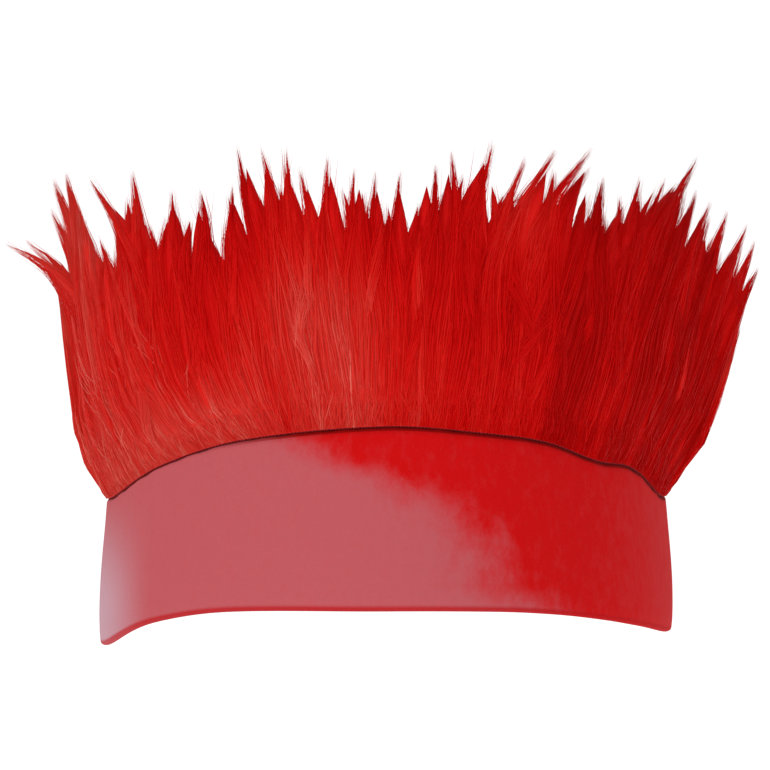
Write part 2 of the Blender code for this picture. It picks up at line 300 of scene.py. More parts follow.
def sweep_tube(name, rows):
    """A ring drawn up row by row into a tube, ready to be set in place round the head."""
    step = 0.01
    bpy.ops.object.select_all(action="DESELECT")
    bpy.ops.mesh.primitive_circle_add(
        vertices=RING_POINTS, radius=HALF_BREADTH, fill_type="NOTHING"
    )
    piece = bpy.context.object
    piece.name = name
    piece.data.name = name
    bpy.ops.object.mode_set(mode="EDIT")
    bpy.ops.mesh.select_all(action="SELECT")
    bpy.ops.transform.resize(value=(1, HALF_LENGTH / HALF_BREADTH, 1))
    for _ in range(rows - 1):
        bpy.ops.mesh.extrude_region_move(TRANSFORM_OT_translate={"value": (0, 0, step)})
    bpy.ops.object.mode_set(mode="OBJECT")
    places = np.empty(len(piece.data.vertices) * 3)
    piece.data.vertices.foreach_get("co", places)
    places = places.reshape(-1, 3)
    angle = np.degrees(np.arctan2(places[:, 0] / HALF_BREADTH, -places[:, 1] / HALF_LENGTH))
    row = np.rint(places[:, 2] / step).astype(int)
    return piece, angle, row


def set_places(piece, places):
    """Moves a piece's points to their places."""
    piece.data.vertices.foreach_set("co", places.astype(np.float32).ravel())
    piece.data.update()


def weave_map(piece, angle, row, round_length, row_length):
    """A UV map in metres: round the head, and along the cloth across it."""
    mesh = piece.data
    layer = mesh.uv_layers.new(name="cloth")
    corners = np.empty(len(mesh.loops), dtype=int)
    mesh.loops.foreach_get("vertex_index", corners)
    share = (angle[corners] / 360 + 0.5).reshape(-1, 4)
    wraps = share.max(axis=1, keepdims=True) - share.min(axis=1, keepdims=True) > 0.5
    share = np.where(wraps & (share < 0.5), share + 1, share)
    along = row[corners].reshape(-1, 4) * row_length
    spots = np.stack((share * round_length, along), axis=-1)
    layer.data.foreach_set("uv", spots.astype(np.float32).ravel())


def thicken(piece, thickness, flip):
    """Gives a sheet its thickness, evenly to both sides."""
    bpy.ops.object.select_all(action="DESELECT")
    piece.select_set(True)
    bpy.context.view_layer.objects.active = piece
    if flip:
        bpy.ops.object.mode_set(mode="EDIT")
        bpy.ops.mesh.select_all(action="SELECT")
        bpy.ops.mesh.flip_normals()
        bpy.ops.object.mode_set(mode="OBJECT")
    wall = piece.modifiers.new("cloth_wall", "SOLIDIFY")
    wall.thickness = thickness
    wall.offset = 0
    wall.use_even_offset = True
    bpy.ops.object.modifier_apply(modifier=wall.name)
    bpy.ops.object.shade_smooth_by_angle(angle=math.radians(CREASE_ANGLE))


def band_section():
    """The folded sheet's section: from the seam down inside, round the fold, and up to the seam.

    Columns: the way up from the fold to the seam, the side (-1 inside, 1 outside), and the way round
    the fold and the curled edge, in degrees.
    """
    section = []
    for k in range(CURL_ROWS):
        section.append((1, -1, EDGE_CURL - EDGE_CURL * k / CURL_ROWS))
    for k in range(LAYER_ROWS + 1):
        section.append((1 - k / LAYER_ROWS, -1, 0))
    for k in range(1, FOLD_ROWS):
        section.append((0, 0, -90 + 180 * k / FOLD_ROWS))
    for k in range(LAYER_ROWS + 1):
        section.append((k / LAYER_ROWS, 1, 0))
    for k in range(1, CURL_ROWS + 1):
        section.append((1, 1, EDGE_CURL * k / CURL_ROWS))
    return section


def build_band():
    """The velour band, folded double, with its fold at the bottom and its edges at the seam."""
    section = band_section()
    band, angle, row = sweep_tube("velour_band", len(section))
    frame_rows = np.stack([np.interp(angle, TURN_ANGLES, TURN_ROWS[:, k]) for k in range(4)])
    top, fold, top_out, fold_out = frame_rows
    way, side, bend = np.array(section)[row].T
    radius = BAND_WALL / 2
    middle = (VELOUR_GAP + VELOUR_LAYER) / 2
    bend = np.radians(bend)
    crown_height = top - radius
    heel_height = fold + radius
    height = heel_height + way * (crown_height - heel_height)
    out = fold_out + way * (top_out - fold_out) - radius
    # The cloth is fullest a third of the way up, and its two edges pull it in
    fullness = VELOUR_FULLNESS * np.sin(np.pi * way**0.75) - VELOUR_PULL
    # Small gathers below the seam, where the stretch cloth is sewn to the firmer strip
    turn = np.radians(angle)
    gather = GATHER_DEPTH * (np.sin(41 * turn + 1.0) + np.sin(67 * turn + 2 * np.sin(5 * turn)))
    gather = gather * np.exp(-(((1 - way) / GATHER_REACH) ** 2))
    on_fold = side == 0
    out = np.where(on_fold, out + middle * np.sin(bend), out + middle * side * np.cos(bend))
    height = np.where(on_fold, height - middle * np.cos(bend), height + middle * np.sin(bend))
    set_places(band, ring_point(angle, out + fullness + gather * (side > 0), height))
    weave_map(band, angle, row, 0.575, 0.1 / len(section))
    thicken(band, VELOUR_LAYER, flip=True)
    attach(band, "root")
    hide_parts("headband")
    return band


def build_backing():
    """The knitted strip, which stands on the seam and carries the pile."""
    backing, angle, row = sweep_tube("knit_strip", KNIT_ROWS)
    seam, seam_out = seam_at(angle)
    way = row / (KNIT_ROWS - 1)
    height = seam + SEAM_SLIT + way * BACKING_HEIGHT
    turn = np.radians(angle)
    ripple = KNIT_RIPPLE * np.sin(19 * turn) * way
    set_places(backing, ring_point(angle, seam_out - BAND_WALL / 2 + ripple, height))
    weave_map(backing, angle, row, 0.570, BACKING_HEIGHT / (KNIT_ROWS - 1))
    thicken(backing, BACKING_WALL, flip=False)
    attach(backing, "root")
    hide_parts("fur_backing")
    return backing


# The pile's packed core: the way up, and the share of the locks' depth that it reaches out to
PILE_CORE = (
    (0.000, 0.04),
    (0.020, 0.16),
    (0.045, 0.34),
    (0.080, 0.54),
    (0.130, 0.68),
    (0.200, 0.76),
    (0.290, 0.79),
    (0.380, 0.79),
    (0.470, 0.77),
    (0.580, 0.70),
    (0.660, 0.54),
    (0.700, 0.34),
    (0.695, 0.20),
    (0.640, 0.13),
    (0.400, 0.10),
    (0.200, 0.05),
    (0.000, 0.00),
)


def build_pile_core():
    """The closed loop of packed hair behind the long strands, which lean and flare as they do."""
    core, around, row = sweep_tube("pile_core", len(PILE_CORE))
    way, share = np.array(PILE_CORE)[row].T
    flow = flow_at(around)
    turn = np.radians(around)
    way = way * (1 + 0.05 * np.sin(23 * turn) + 0.05 * np.sin(41 * turn + 1))
    relief = 1 + 0.10 * np.sin(31 * turn + 3 * np.sin(7 * turn)) + 0.07 * np.sin(59 * turn)
    _, deep = lock_profile(way)
    angle = leaned(around, flow, way)
    spread = share * relief * foot_share(angle, way) * (LOCK_SEAT + deep * LOCK_DEPTH)
    spread = spread + flared(flow, way, 0.92)
    height = risen(angle, flow, way)
    set_places(core, ring_point(angle, pile_inner(angle) + spread, height))
    ends = (row == 0) | (row == len(PILE_CORE) - 1)
    bpy.ops.object.mode_set(mode="EDIT")
    bpy.ops.mesh.select_all(action="DESELECT")
    bpy.ops.object.mode_set(mode="OBJECT")
    core.data.vertices.foreach_set("select", ends)
    core.data.edges.foreach_set("select", ends[edge_ends(core)].all(axis=1))
    bpy.ops.object.mode_set(mode="EDIT")
    bpy.ops.mesh.bridge_edge_loops()
    bpy.ops.mesh.select_all(action="SELECT")
    bpy.ops.mesh.normals_make_consistent(inside=False)
    bpy.ops.object.mode_set(mode="OBJECT")
    bpy.ops.object.shade_smooth()
    # Painted shade: the core lies behind the strands, so it is a little darker
    point_values(core.data, "strand_tone", tone_at(angle, way) - 0.06)
    point_places(core.data, "grow_place", ring_point(around, 0, way * PILE_HEIGHT))
    join_pile(core)
    return core


def join_pile(piece):
    """Attaches a piece to the root and hides the fur that it stands in for."""
    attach(piece, "root")
    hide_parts("fur")


def edge_ends(piece):
    """The two points of each of a piece's edges."""
    ends = np.empty(len(piece.data.edges) * 2, dtype=int)
    piece.data.edges.foreach_get("vertices", ends)
    return ends.reshape(-1, 2)


def smooth_step(low, high, value):
    """A share that rises smoothly from 0 at one value to 1 at another."""
    share = np.clip((value - low) / (high - low), 0, 1)
    return share * share * (3 - 2 * share)


def lock_counts():
    """How many strands each lock has, from its share of the way round the head."""
    roots = np.array([row[0] for row in LOCK_ROWS], dtype=float)
    order = np.argsort(roots)
    around = roots[order]
    gaps = np.diff(np.append(around, around[0] + 360))
    room = np.empty(len(roots))
    room[order] = (gaps + np.roll(gaps, 1)) / 2
    girth = math.pi * (HALF_BREADTH + HALF_LENGTH) * 1000
    widths = np.array([row[5] for row in LOCK_ROWS])
    room = np.maximum(room, 2.2) * np.sqrt(widths)
    room = room / room.sum()
    return np.rint(room * girth * STRANDS_PER_MM).astype(int)


def pile_inner(angle):
    """How far out the pile begins at an angle: just clear of the knitted strip."""
    _, seam_out = seam_at(angle)
    return seam_out - (BAND_WALL - BACKING_WALL) / 2 + CLEARANCE


def lock_profile(way):
    """A lock's width and depth at a share of its way up, as shares of its full ones."""
    wide = np.interp(way, LOCK_SHARES[:, 0], LOCK_SHARES[:, 1])
    deep = np.interp(way, LOCK_SHARES[:, 0], LOCK_SHARES[:, 2])
    return wide, deep


def foot_share(angle, way):
    """The share of its depth that the pile keeps near its foot, which is less at the sides."""
    sideways = np.sin(np.radians(angle))
    full_at = np.where(sideways < 0, 0.17, 0.40)
    return 1 - 0.36 * np.abs(sideways) ** 6 * (1 - smooth_step(0.0, 1.0, way / full_at))


def seated(angle, way, depth):
    """How far out a place in a lock is before its flare, at a depth from -1, inner, to 1, outer."""
    _, deep = lock_profile(way)
    return LOCK_SEAT + foot_share(angle, way) * deep * LOCK_DEPTH / 2 * (1 + depth)


def half_turn_of(width):
    """Half of a lock's width in degrees round the head."""
    return math.degrees(width * LOCK_WIDTH / (HALF_BREADTH + HALF_LENGTH))


def lock_path(row, way, across, depth):
    """Angles, distances out of the pile's inner face, and heights at places in a lock.

    The places are given by the way up, and by shares from -1 to 1 across and through the lock.
    """
    root, tip, rise, flare, turn_out, width, lean = row
    way_in = np.clip(way, 0, 1)
    angle = root + (tip - root) * way_in**lean + half_turn_of(width) * across
    spread = seated(angle, way_in, depth) + flare * PILE_HEIGHT * way_in**turn_out
    # The locks that flare most on the left rise first and then turn out
    late = 1 + 0.25 * smooth_step(0.25, 0.36, flare) * (root < 0)
    climb = way - way_in + 1 - (1 - way_in) ** late
    foot, _ = seam_at(angle)
    lock_foot, _ = seam_at(root)
    height = foot + (lock_foot + rise * PILE_HEIGHT - foot) * climb + CLEARANCE
    return angle, spread, height


def flow_at(around):
    """How the pile grows at each angle, between the locks to either side of it."""
    rows = np.array(sorted(LOCK_ROWS))
    turns = np.concatenate((rows[:, 0] - 360, rows[:, 0], rows[:, 0] + 360))
    columns = {
        "lean": rows[:, 1] - rows[:, 0],
        "rise": np.minimum(rows[:, 2], 1.0),
        "flare": np.minimum(rows[:, 3], 0.30),
        "turn_out": rows[:, 4],
        "lean_late": np.minimum(rows[:, 6], 2.0),
    }
    return {name: np.interp(around, turns, np.tile(values, 3)) for name, values in columns.items()}


def leaned(around, flow, way):
    """The angle that the pile between the locks has leaned to at a way up."""
    return around + flow["lean"] * way ** flow["lean_late"]


def risen(angle, flow, way):
    """The height of the pile between the locks at a way up."""
    return seam_at(angle)[0] + CLEARANCE + way * flow["rise"] * PILE_HEIGHT


def flared(flow, way, share):
    """How far a share of the flare takes the pile between the locks at a way up."""
    return share * flow["flare"] * PILE_HEIGHT * way ** flow["turn_out"]


def even(rng, count, low=0, high=1):
    """A column of numbers spread evenly between two others, one for each strand."""
    return rng.uniform(low, high, (count, 1))


def scattered(rng, count, spread):
    """A column of numbers scattered about nought, one for each strand."""
    return rng.normal(0, spread, (count, 1))


def tone_at(around, way):
    """The pile's painted light and shade at a place, as a tone from 0, deep, to 1, pale."""
    around = (np.asarray(around) + 180) % 360 - 180
    angles, *columns = np.array(LIGHT_AND_SHADE_TONES).T
    foot, middle, top = (np.interp(around, angles, column, period=360) for column in columns)
    low = smooth_step(0.08, 0.42, way)
    high = smooth_step(0.42, 0.78, way)
    return foot * (1 - low) + middle * (low - high) + top * high


def streak_at(around, rng):
    """Uneven streaks round the head, up to a few millimetres wide, strongest on the right."""
    fine = rng.normal(0, 1, 900)
    broad = rng.normal(0, 1, 240)
    share = (np.asarray(around) / 360) % 1
    fine_share = np.interp(share * len(fine), np.arange(len(fine)), fine)
    broad_share = np.interp(share * len(broad), np.arange(len(broad)), broad)
    right = np.interp(share, (0.0, 0.03, 0.26, 0.36, 1.0), (0.0, 1.0, 1.0, 0.0, 0.0))
    return (1 + 1.1 * right) * (0.035 * fine_share + 0.042 * broad_share)


def spring_out(way, hair_root, reach):
    """How far a strand has come from its root to its place in the pile, from 0 to 1."""
    sprung = np.clip((way - hair_root) / reach, 0, 1)
    return sprung * (2 - sprung)


def lock_parts(index):
    """How a lock parts towards its tip: the place of each smaller one, its reach, drift and sway."""
    rng = np.random.default_rng((SEED, index))
    parts = max(3, round(3 * LOCK_ROWS[index][5]))
    centres = np.linspace(-0.76, 0.76, parts) + rng.uniform(-0.12, 0.12, parts)
    reaches = 1.0 - 0.12 * np.abs(centres) ** 1.5 - rng.uniform(0.0, 0.07, parts)
    reaches[np.argmin(np.abs(centres))] = 1.01
    return centres, reaches, rng.uniform(-0.42, 0.42, parts), rng.uniform(0, 1, parts)


def part_middle(centre, drift, phase, way):
    """The middle of a lock's smaller one: where it is across the lock at each way up."""
    wide, _ = lock_profile(np.clip(way, 0, 1))
    middle = (centre + drift * smooth_step(0.55, 1.0, way)) * np.maximum(wide, 0.26)
    return middle + 0.24 * np.sin(math.tau * (1.1 * way + phase)) * smooth_step(0.0, 0.5, way)


def lock_strands(index, count, rng):
    """The paths and tones of one lock's strands."""
    row = LOCK_ROWS[index]
    root, width = row[0], row[5]
    across = even(rng, count, -1, 1)
    depth = even(rng, count, -1, 1) * np.sqrt(1 - 0.5 * across**2)
    hair_root = 0.47 * ((1 - depth) / 2) ** 1.15 * even(rng, count, 0.6, 1.05)
    on_face = even(rng, count) < FACE_SHARE
    depth = np.where(on_face, even(rng, count, 0.45, 0.92), depth)
    hair_root = np.where(on_face, 0.07 * even(rng, count) ** 1.8, hair_root)

    # Each strand belongs to one of the smaller locks that this one parts into
    parts = lock_parts(index)
    centres = parts[0]
    part_tone = rng.normal(0, 0.05, len(centres))
    part = np.abs(across + scattered(rng, count, 0.14) - centres).argmin(axis=1)
    centre, reach, drift, phase = (values[part][:, None] for values in parts)

    ends = reach + 0.015 - rng.exponential(0.040, (count, 1))
    early = even(rng, count) < SHORT_SHARE
    ends = np.where(early, ends - even(rng, count, 0.0, 0.30), ends)
    ends = np.maximum(ends, hair_root + 0.15)
    stray = scattered(rng, count, 0.45) * (even(rng, count) < STRAY_SHARE)

    way = hair_root + (ends - hair_root) * STRAND_STEPS**1.1
    way_in = np.clip(way, 0, 1)
    wide, _ = lock_profile(way_in)
    middle = part_middle(centre, drift, phase, way)
    gather = 0.50 * smooth_step(0.45, 1.0, way_in)
    side = middle + (across - centre) * (1 - gather) * np.maximum(wide, 0.26)
    wave = np.sin(math.tau * (1.5 * way + even(rng, count)))
    side = side + scattered(rng, count, 0.085) * wave * (0.3 + way)
    side = side + stray * way**2

    angle, spread, height = lock_path(row, way, side, depth)
    inner = pile_inner(angle)
    sprung = spring_out(way, hair_root, 0.16)
    out = inner + spread * sprung + 0.0002 * scattered(rng, count, 1) * sprung
    out = np.maximum(out, inner + INNER_GAP)
    tone = tone_at(angle, way_in) + 0.04 * rng.normal() + part_tone[part][:, None]
    tone = tone + scattered(rng, count, 0.045)
    # Painted highlight: a few face strands are paler, as if they catch the light
    pale = (even(rng, count) < HIGHLIGHT_SHARE) & on_face
    tone = np.minimum(tone, 0.84) + 0.12 * pale
    hair_angle = root + across[:, 0] * half_turn_of(width) * 0.9
    return ring_point(angle, out, height), hair_angle, tone


def filling_strands(count, rng):
    """Strands that belong to no lock: they fill the pile evenly up to where the locks part."""
    around = even(rng, count, STREWN_FROM, STREWN_TO)
    flow = flow_at(around)
    inside = even(rng, count) < INSIDE_SHARE
    depth = np.where(inside, even(rng, count, -1.0, -0.86), even(rng, count, -0.9, 0.9))
    hair_root = 0.42 * ((1 - depth) / 2) ** 1.1 * even(rng, count, 0.1, 1.05)
    ends = even(rng, count, 0.62, 0.86)
    way = hair_root + (ends - hair_root) * STRAND_STEPS**1.1
    wave = np.sin(math.tau * (1.3 * way + even(rng, count)))
    angle = leaned(around, flow, way) + scattered(rng, count, 0.5) * wave * way
    height = risen(angle, flow, way)
    inner = pile_inner(angle)
    spread = seated(angle, way, depth) + flared(flow, way, 0.95)
    out = np.maximum(inner + spread * spring_out(way, hair_root, 0.12), inner + INNER_GAP)
    # Painted shade: a little darker, as these strands lie deep in the pile
    tone = tone_at(angle, way) - 0.03 + scattered(rng, count, 0.05)
    return ring_point(angle, out, height), around[:, 0], tone


def sprouts(count, rng):
    """Short strands along the seam, which round off the foot of the pile."""
    around = even(rng, count, -180, 180)
    length = even(rng, count, 0.008, 0.024)
    lift = 0.0022 * even(rng, count) ** 2
    left = smooth_step(-75, -45, around) * (1 - smooth_step(-32, -12, around))
    lean = scattered(rng, count, 1.6) - 3 * left
    seam, _ = seam_at(around)
    inner = pile_inner(around)
    step = SPROUT_STEPS
    angle = around + lean * step**1.2 * length / 0.012
    height = seam + CLEARANCE + lift + length * (0.55 * step + 0.45 * step**2)
    way = (height - seam) / PILE_HEIGHT
    _, deep = lock_profile(way)
    surface = LOCK_SEAT + deep * LOCK_DEPTH * foot_share(angle, way) * even(rng, count, 0.80, 0.98)
    out = inner + 0.0003 + surface * spring_out(step, 0, 0.45)
    # Painted shade: a little darker at the pile's foot by the seam
    tone = tone_at(angle, way) - 0.02 + scattered(rng, count, 0.05)
    return ring_point(angle, out, height), around[:, 0], tone


def wisp_strands(wisps, strands, rng):
    """Small tufts that lie over the face of the pile, each a little across the way that it grows."""
    each = np.repeat(np.arange(wisps), strands)
    count = len(each)
    around = rng.uniform(STREWN_FROM, STREWN_TO, wisps)
    start = rng.uniform(0.01, 0.40, wisps)
    reach = rng.uniform(0.28, 0.50, wisps)
    astray = rng.normal(0, 1, wisps) * np.interp(around, *WISPS_ASTRAY)
    girth = rng.uniform(0.5, 1.1, wisps)
    phase = rng.uniform(0, 1, wisps)
    wisp_tone = rng.normal(0, 1, wisps) * np.interp(around, *WISPS_TONED)
    around, start, reach, astray, girth, phase, wisp_tone = (
        values[each][:, None] for values in (around, start, reach, astray, girth, phase, wisp_tone)
    )
    flow = flow_at(around)
    across = scattered(rng, count, 0.5)
    step = STRAND_STEPS
    low = np.maximum(start + scattered(rng, count, 0.025), 0.0)
    way = low + reach * even(rng, count, 0.72, 1.0) * step
    _, deep = lock_profile(way)
    angle = leaned(around, flow, way) + astray * step**1.4
    angle = angle + girth * across * (1 - 0.72 * step)
    angle = angle + 0.45 * np.sin(math.tau * (0.8 * step + phase)) * step
    height = risen(angle, flow, way)
    spread = LOCK_SEAT + 0.95 * foot_share(angle, way) * deep * LOCK_DEPTH
    spread = spread + flared(flow, way, 0.90)
    spread = spread + 0.0007 * np.sin(math.pi * step) * even(rng, count, 0.2, 1.0)
    out = pile_inner(angle) + spread * spring_out(step, 0, 0.30)
    tone = tone_at(angle, way) + wisp_tone + scattered(rng, count, 0.04)
    return ring_point(angle, out, height), around[:, 0], tone


def cross_strands(count, rng):
    """Loose strands that cross the others low on the left, where the pile has been combed over."""
    around = even(rng, count, -66, -34)
    length = even(rng, count, 0.008, 0.019)
    lift = even(rng, count, 0.004, 0.028)
    lean = rng.normal(-4, 5, (count, 1))
    bow = scattered(rng, count, 2.2)
    seam, _ = seam_at(around)
    step = STRAND_STEPS
    angle = around - 3 * lift / 0.02 + lean * step + bow * step * (1 - step)
    height = seam + CLEARANCE + lift + length * (0.9 * step - 0.12 * step**2)
    way = np.clip((height - seam) / PILE_HEIGHT, 0, 1)
    _, deep = lock_profile(way)
    surface = LOCK_SEAT + deep * LOCK_DEPTH + 0.13 * PILE_HEIGHT * way**2
    lifted = surface + 0.0005 + 0.0003 * scattered(rng, count, 1)
    out = pile_inner(angle) + lifted * spring_out(step, 0, 0.25)
    # Painted highlight: the crossing strands are pale, as if they catch the light
    tone = np.full_like(angle, 0.90)
    return ring_point(angle, out, height), around[:, 0], tone


def strand_tubes(paths, girths, around):
    """The rungs of a tapered, three-sided tube along each path, up to its tip."""
    steps = paths.shape[1]
    rings = steps - 1
    along = np.gradient(paths, axis=1)
    along /= np.linalg.norm(along, axis=2, keepdims=True)
    turn = np.radians(around)
    level = np.stack((HALF_BREADTH * np.cos(turn), HALF_LENGTH * np.sin(turn), 0 * turn), axis=-1)
    level = level / np.linalg.norm(level, axis=1, keepdims=True)
    side = np.cross(along, level[:, None, :])
    side /= np.maximum(np.linalg.norm(side, axis=2, keepdims=True), 1e-9)
    other = np.cross(along, side)
    taper = 1 - STRAND_TAPER * np.linspace(0, 1, steps)[:rings] ** 2
    girth = (girths[:, None] * taper[None, :])[:, :, None]
    hoops = []
    for k in range(STRAND_SIDES):
        spoke = math.tau * k / STRAND_SIDES
        reach = math.cos(spoke) * side[:, :rings] + math.sin(spoke) * other[:, :rings]
        hoops.append(paths[:, :rings] + girth * reach)
    return np.stack(hoops, axis=2)


def point_values(mesh, name, values):
    """Keeps one number for each point of a mesh, for its material to read."""
    attribute = mesh.attributes.new(name, "FLOAT", "POINT")
    attribute.data.foreach_set("value", np.clip(values, 0, 1).astype(np.float32).ravel())


def point_places(mesh, name, places):
    """Keeps a place for each point of a mesh, for the pattern of its material."""
    attribute = mesh.attributes.new(name, "FLOAT_VECTOR", "POINT")
    attribute.data.foreach_set("vector", places.astype(np.float32).ravel())


def tubes_mesh(name, batches):
    """Closed tubes in one mesh, from the rungs, the closing tip and the tones of each."""
    points = []
    loops = []
    sizes = []
    tones = []
    start = 0
    for rungs, tips, tone in batches:
        count, rings, sides, _ = rungs.shape
        each = rings * sides + 1
        block = np.concatenate((rungs.reshape(count, rings * sides, 3), tips[:, None, :]), axis=1)
        points.append(block.reshape(-1, 3))
        base = start + each * np.arange(count)[:, None]
        quads = []
        for ring in range(rings - 1):
            for k in range(sides):
                low, low_next = ring * sides + k, ring * sides + (k + 1) % sides
                quads.append((low, low_next, low_next + sides, low + sides))
        caps = [(0, k + 1, k) for k in range(1, sides - 1)]
        for k in range(sides):
            caps.append(((rings - 1) * sides + k, (rings - 1) * sides + (k + 1) % sides, each - 1))
        for faces in (np.array(quads), np.array(caps)):
            loops.append((base + faces.ravel()).ravel())
            sizes.append(np.full(count * len(faces), faces.shape[1]))
        ring_tones = np.repeat(tone[:, :rings], sides, axis=1)
        tones.append(np.concatenate((ring_tones, tone[:, rings:]), axis=1).ravel())
        start += each * count
    points = np.concatenate(points)
    loops = np.concatenate(loops)
    sizes = np.concatenate(sizes)
    mesh = bpy.data.meshes.new(name)
    mesh.vertices.add(len(points))
    mesh.vertices.foreach_set("co", points.astype(np.float32).ravel())
    mesh.loops.add(len(loops))
    mesh.loops.foreach_set("vertex_index", loops.astype(np.int32))
    mesh.polygons.add(len(sizes))
    starts = np.concatenate(([0], np.cumsum(sizes)[:-1]))
    mesh.polygons.foreach_set("loop_start", starts.astype(np.int32))
    mesh.polygons.foreach_set("use_smooth", np.ones(len(sizes), dtype=bool))
    point_values(mesh, "strand_tone", np.concatenate(tones))
    mesh.update(calc_edges=True)
    mesh.validate()
    return mesh


def pile_piece(name, mesh):
    """A piece of the pile from its mesh."""
    piece = bpy.data.objects.new(name, mesh)
    bpy.context.collection.objects.link(piece)
    join_pile(piece)
    return piece


def heart(row, way, middle, half, thick, sides):
    """One closed body inside a lock: its rungs, its tip, its tones, and where it grows from."""
    spoke = -math.tau * np.arange(sides) / sides
    across = middle[:-1, None] + half[:-1, None] * np.cos(spoke)
    angle, spread, height = lock_path(row, way[:-1, None], across, thick * np.sin(spoke))
    rungs = ring_point(angle, pile_inner(angle) + spread, height)
    tip_angle, tip_spread, tip_height = lock_path(row, way[-1], middle[-1], 0.0)
    tip = ring_point(tip_angle, pile_inner(tip_angle) + tip_spread, tip_height)
    middle_angle, _, _ = lock_path(row, way, middle, 0.0)
    # Painted shade: the hearts lie deep inside the locks, so they are a little darker
    tone = tone_at(middle_angle, way) - 0.07
    foot_angle = row[0] + across * half_turn_of(row[5])
    grown = ring_point(foot_angle, 0.005 * np.sin(spoke), way[:-1, None] * PILE_HEIGHT)
    return rungs, tip, tone, np.concatenate((grown.reshape(-1, 3), grown[-1, :1]))


def build_lock_hearts():
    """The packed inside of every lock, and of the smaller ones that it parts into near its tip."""
    bodies = []
    points = []
    body_way = np.append(np.linspace(0.10, 0.84, HEART_RINGS), 0.93)
    wide, _ = lock_profile(body_way)
    body_half = HEART_WIDTH * wide * (1 - 0.50 * smooth_step(0.60, 0.88, body_way))
    for index, row in enumerate(LOCK_ROWS):
        sway = 0.06 * np.sin(math.tau * (1.2 * body_way + index / 7))
        bodies.append(heart(row, body_way, sway, body_half, HEART_DEPTH, HEART_SIDES))
        centres, reaches, drift, phase = lock_parts(index)
        for centre, reach, part_drift, part_phase in zip(centres, reaches, drift, phase):
            step = np.linspace(0, 1, PART_RINGS + 1)
            way = PART_FOOT + (reach - 0.015 - PART_FOOT) * step
            wide, _ = lock_profile(way)
            half = PART_WIDTH / len(centres) * (1 - step**2.8) * np.maximum(wide, 0.32)
            middle = part_middle(centre, part_drift, part_phase, way)
            points.append(heart(row, way, middle, half, PART_DEPTH, PART_SIDES))
    batches = []
    places = []
    for group in (bodies, points):
        rungs, tips, tones, grown = (np.array(values) for values in zip(*group))
        batches.append((rungs, tips, tones))
        places.append(grown.reshape(-1, 3))
    mesh = tubes_mesh("lock_hearts", batches)
    point_places(mesh, "grow_place", np.concatenate(places))
    return pile_piece("lock_hearts", mesh)


def build_pile():
    """The pile's strands, in eight pieces round the head."""
    rng = np.random.default_rng(SEED)
    batches = []
    for index, count in enumerate(lock_counts()):
        batches.append((*lock_strands(index, count, rng), rng.uniform(0.7, 1.15, count)))
    loose = (
        (filling_strands(FILLING_STRANDS, rng), 0.95),
        (sprouts(SPROUT_STRANDS, rng), 0.90),
        (wisp_strands(WISPS, WISP_STRANDS, rng), 1.00),
        (cross_strands(CROSS_STRANDS, rng), 0.75),
    )
    for (paths, around, tone), girth in loose:
        batches.append((paths, around, tone, girth * rng.uniform(0.65, 1.0, len(paths))))
    streaks = [streak_at(around, np.random.default_rng(SEED)) for _, around, _, _ in batches]
    pieces = []
    for sector in range(SECTORS):
        low = sector * 360 / SECTORS
        kept = []
        for (paths, around, tone, girths), streak in zip(batches, streaks):
            here = (around - low) % 360 < 360 / SECTORS
            if here.any():
                rungs = strand_tubes(paths[here], STRAND_RADIUS * girths[here], around[here])
                kept.append((rungs, paths[here, -1], tone[here] + streak[here][:, None]))
        name = f"pile_{sector + 1}"
        pieces.append(pile_piece(name, tubes_mesh(name, kept)))
    return pieces


def set_sockets(node, **values):
    """Sets a node's sockets by their names, with _ for a space."""
    for name, value in values.items():
        node.inputs[name.replace("_", " ")].default_value = value


